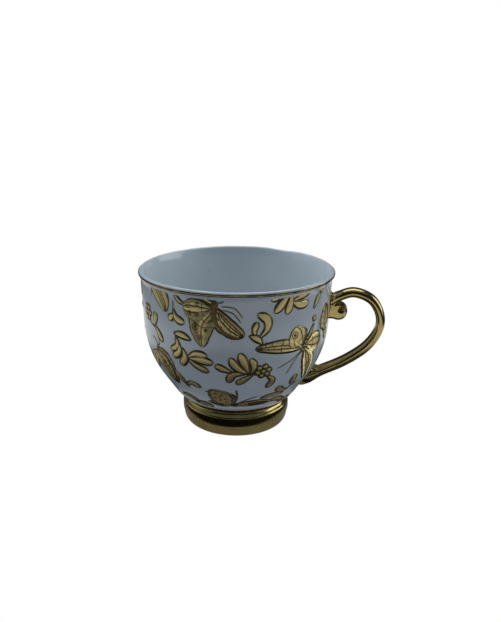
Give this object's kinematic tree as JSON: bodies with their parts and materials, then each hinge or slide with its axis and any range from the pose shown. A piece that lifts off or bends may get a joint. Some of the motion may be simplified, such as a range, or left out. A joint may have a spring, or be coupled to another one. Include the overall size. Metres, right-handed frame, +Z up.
{
  "type": "teacup",
  "caption": "Round porcelain teacup with a rolled gilded rim, gilded pedestal foot, gilded loop handle with a scroll, and raised gold butterfly and leaf decoration.",
  "frame": {"origin": "under the middle of the whole outline, bowl and handle together, on the surface that the foot stands on; the bowl's own vertical axis is at x = -0.0117 m, y = 0", "axes": "+X from the bowl to the handle, the longest way across; +Z up, the shortest extent; +Y across, so the side with the great moth faces -Y"},
  "size_m": [0.1135, 0.09, 0.0752],
  "materials": {
    "porcelain": "glossy clear glaze on cool white porcelain",
    "mirror_gold": "polished bright gold fired over the glaze, mirror-like",
    "gilded_slip": "glazed clay slip under bright gold",
    "rim_gold": "thin line of burnished gold",
    "raised_gold": "raised relief paste under matt gold with a darker burnished outline"
  },
  "bodies": {
    "root": {"berry_spray_back": "raised_gold", "berry_spray_front": "raised_gold", "berry_sprig_back": "raised_gold", "berry_sprig_front": "raised_gold", "bowl": "porcelain", "bud_sprig_back": "raised_gold", "bud_sprig_front": "raised_gold", "closing_butterfly": "raised_gold", "closing_foot_leaf": "raised_gold", "closing_moth": "raised_gold", "closing_petals": "raised_gold", "closing_rim_leaf": "raised_gold", "closing_spray": "raised_gold", "closing_sprig": "raised_gold", "comma_sprig_back": "raised_gold", "comma_sprig_front": "raised_gold", "fan_spray_back": "raised_gold", "fan_spray_front": "raised_gold", "foot_ring": "mirror_gold", "fork_sprig_back": "raised_gold", "fork_sprig_front": "raised_gold", "great_moth_back": "raised_gold", "great_moth_front": "raised_gold", "handle": "mirror_gold", "hook_leaf_back": "raised_gold", "hook_leaf_front": "raised_gold", "left_foot_leaf_back": "raised_gold", "left_foot_leaf_front": "raised_gold", "low_butterfly_back": "raised_gold", "low_butterfly_front": "raised_gold", "low_sprig_back": "raised_gold", "low_sprig_front": "raised_gold", "lower_slip_joint": "gilded_slip", "right_foot_leaf_back": "raised_gold", "right_foot_leaf_front": "raised_gold", "rim_gilding": "rim_gold", "rim_petals_back": "raised_gold", "rim_petals_front": "raised_gold", "rim_wing_back": "raised_gold", "rim_wing_front": "raised_gold", "root_butterfly_back": "raised_gold", "root_butterfly_front": "raised_gold", "side_butterfly_back": "raised_gold", "side_butterfly_front": "raised_gold", "tall_butterfly_back": "raised_gold", "tall_butterfly_front": "raised_gold", "upper_slip_joint": "gilded_slip"}
  },
  "joints": []
}
